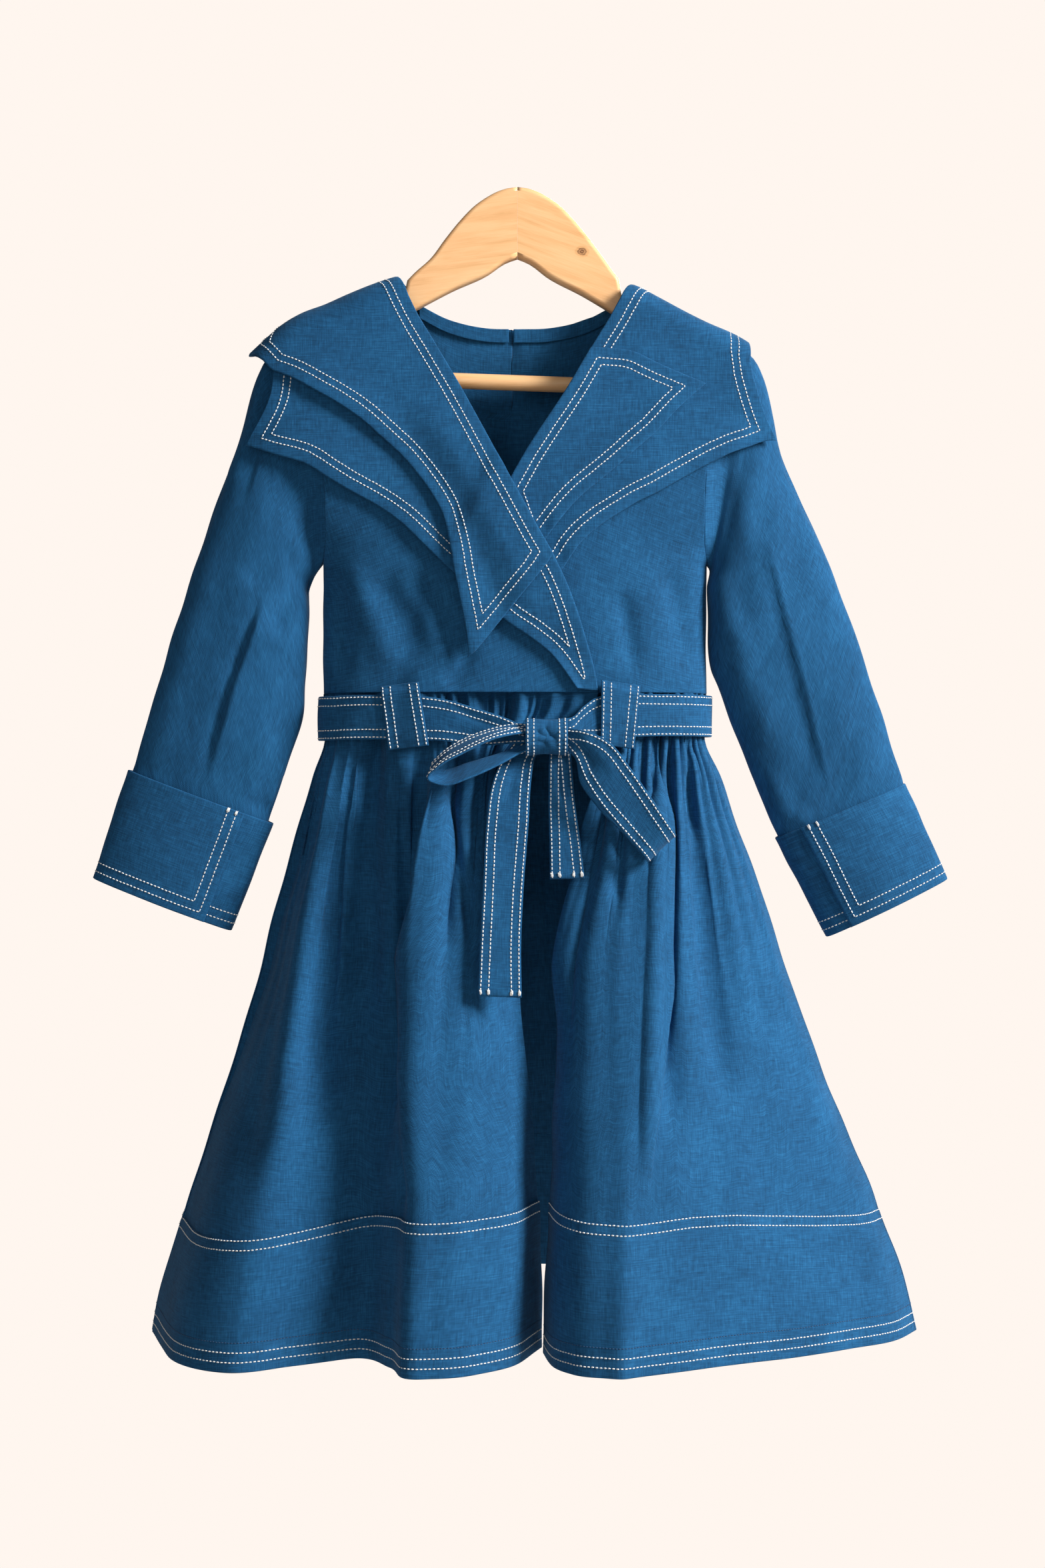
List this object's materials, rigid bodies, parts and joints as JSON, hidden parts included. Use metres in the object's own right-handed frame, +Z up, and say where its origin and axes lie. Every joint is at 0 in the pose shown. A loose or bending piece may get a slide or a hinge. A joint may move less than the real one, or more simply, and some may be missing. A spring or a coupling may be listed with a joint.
{
  "type": "denim dress on wooden hanger",
  "caption": "Child's long-sleeved denim wrap dress with a wide double collar, deep cuffs, tied belt and gathered skirt, on a wooden hanger.",
  "frame": {"origin": "the top centre of the hanger, where its hook screws in", "axes": "+X to the wearer's left, +Y to the back of the dress, +Z up"},
  "size_m": [0.5005, 0.208, 0.671],
  "materials": {
    "denim": "matt plain-weave blue denim, sewn with white thread",
    "maple": "satin varnish",
    "button": "satin",
    "thread": "twisted white cotton"
  },
  "bodies": {
    "root": {"belt": "denim", "belt_loop_left": "denim", "belt_loop_right": "denim", "belt_tail_left": "denim", "belt_tail_right": "denim", "bodice_back": "denim", "bodice_front_left": "denim", "bodice_front_right": "denim", "bow_knot": "denim", "bow_loop_left": "denim", "bow_loop_right": "denim", "button_loop": "denim", "collar_lower_left": "denim", "collar_lower_right": "denim", "collar_upper_left": "denim", "collar_upper_right": "denim", "cuff_left": "denim", "cuff_right": "denim", "hem_band_back": "denim", "hem_band_front_left": "denim", "hem_band_front_right": "denim", "neck_binding_left": "denim", "neck_binding_right": "denim", "skirt_back": "denim", "skirt_front_left": "denim", "skirt_front_right": "denim", "sleeve_left": "denim", "sleeve_right": "denim", "hanger": "maple", "back_button": "button"}
  },
  "joints": []
}
